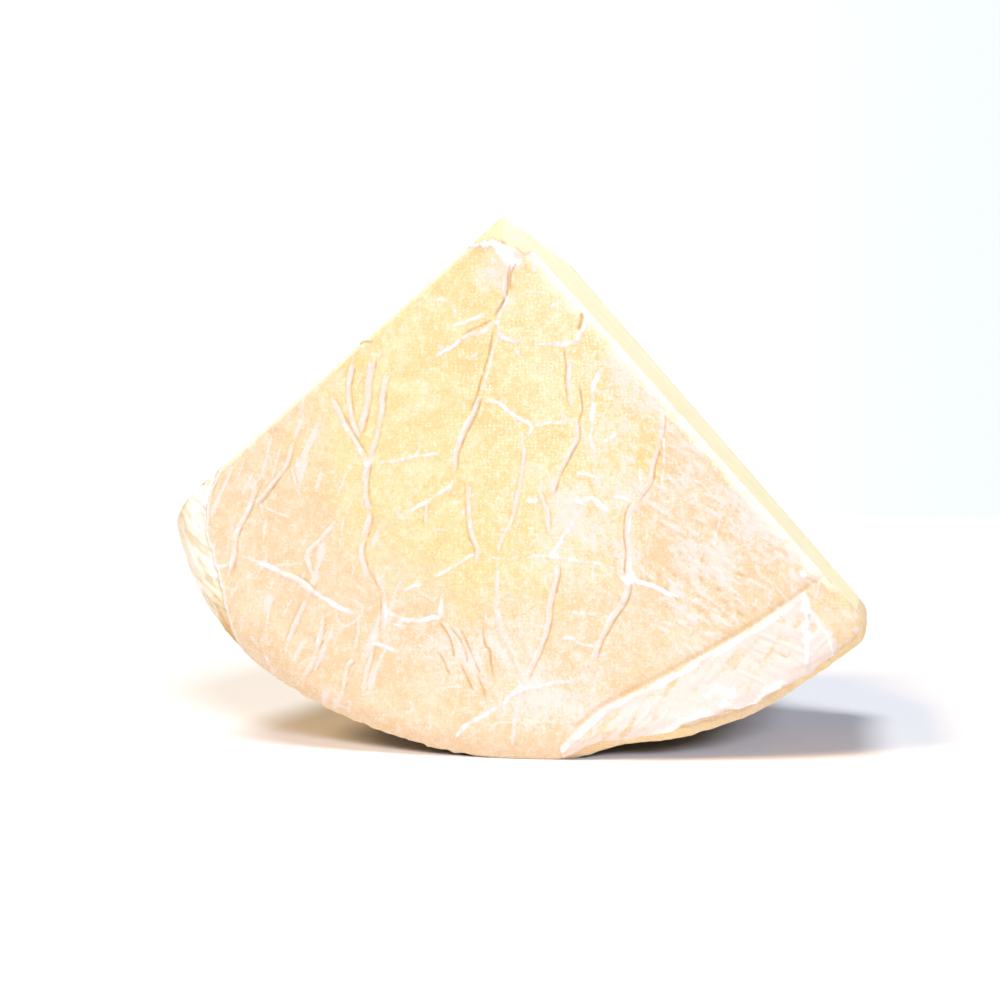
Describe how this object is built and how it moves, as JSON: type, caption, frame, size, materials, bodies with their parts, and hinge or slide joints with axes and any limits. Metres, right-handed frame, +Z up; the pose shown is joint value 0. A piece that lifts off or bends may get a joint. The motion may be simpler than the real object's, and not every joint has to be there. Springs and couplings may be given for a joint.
{
  "type": "cloth-bound cheddar wedge",
  "caption": "Quarter wedge of cloth-bound cheddar standing on its curved rim, tip up, with a creased cloth rind and plain pale cut faces.",
  "frame": {"origin": "middle of the underside of the wedge's box, on the surface it stands on", "axes": "+Z up to the tip line, -Y out of the front rind face, +X to the right seen from the front"},
  "size_m": [0.1864, 0.1066, 0.1408],
  "materials": {
    "rind": "matte cloth pressed on golden rind, mottled, with pale raised folds",
    "paste": "smooth pale yellow cut cheese with a faint sheen"
  },
  "bodies": {
    "root": {"cheddar_wedge": "rind"}
  },
  "joints": []
}
